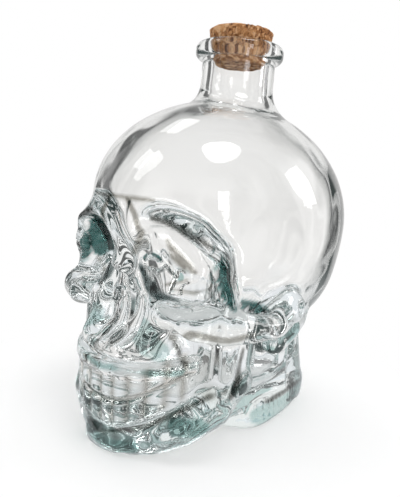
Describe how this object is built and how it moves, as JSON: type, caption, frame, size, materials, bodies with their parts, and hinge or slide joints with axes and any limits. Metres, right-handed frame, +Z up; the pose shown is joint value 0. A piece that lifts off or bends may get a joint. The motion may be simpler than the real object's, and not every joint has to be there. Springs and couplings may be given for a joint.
{
  "type": "skull-shaped glass bottle",
  "caption": "Clear glass bottle moulded as a human skull, standing on its chin and heel, with a round neck, a beaded lip and a tapered cork stopper.",
  "frame": {"origin": "on the table, under the middle of the bottle's bounding box", "axes": "+Z up along the neck, -Y out of the face, X across the cheeks"},
  "size_m": [0.1118, 0.1473, 0.188],
  "materials": {
    "clear_glass": "clear, faintly blue-green where it is thick",
    "cork": "raw pressed granules"
  },
  "bodies": {
    "bottle": {"glass_bottle": "clear_glass"},
    "cork": {"cork_stopper": "cork"}
  },
  "joints": [
    {"name": "cork_pull", "type": "slide", "parent": "bottle", "child": "cork", "axis": [0, 0, 1], "range_m": [0, 0.05]}
  ]
}
